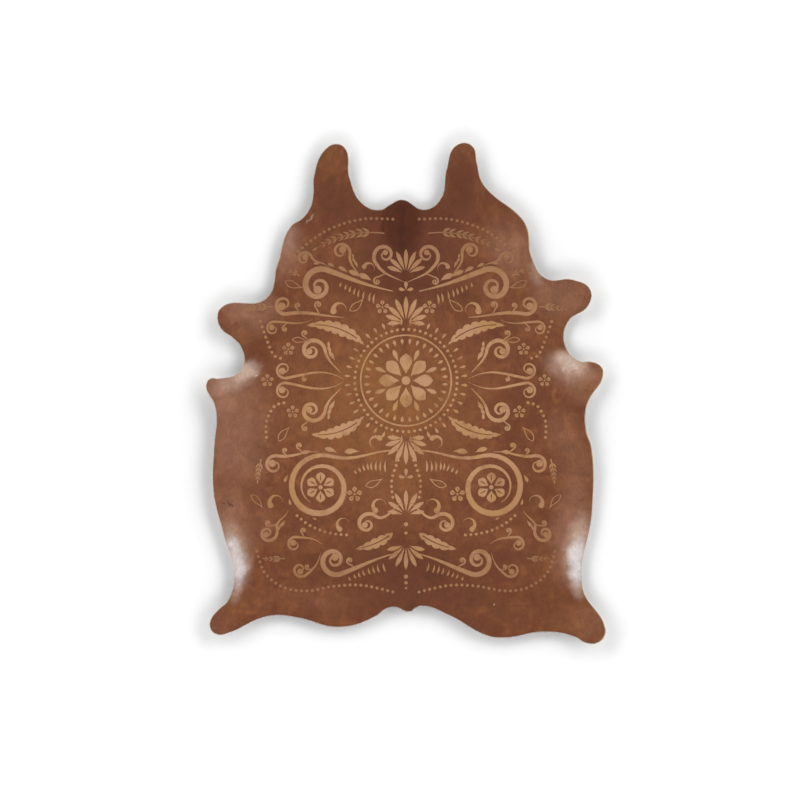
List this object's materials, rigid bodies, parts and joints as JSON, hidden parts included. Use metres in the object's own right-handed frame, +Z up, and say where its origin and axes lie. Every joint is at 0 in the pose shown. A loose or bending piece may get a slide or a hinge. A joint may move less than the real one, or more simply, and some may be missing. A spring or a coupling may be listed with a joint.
{
  "type": "cowhide rug",
  "caption": "Whole hair-on cowhide laid out flat as a rug, with cheek, foreleg and hind shank flaps and a gently lifted cut edge.",
  "frame": {"origin": "middle of the bounding box's bottom, on the surface that the hide lies on", "axes": "+Y towards the neck, +X towards the hide's right flank as seen from above, +Z up out of the hair side"},
  "size_m": [1.8296, 2.297, 0.0209],
  "materials": {
    "hide": "short brown hair with an etched tan ornament and pale patches at the flanks and armpits"
  },
  "bodies": {
    "root": {"hide": "hide"}
  },
  "joints": []
}
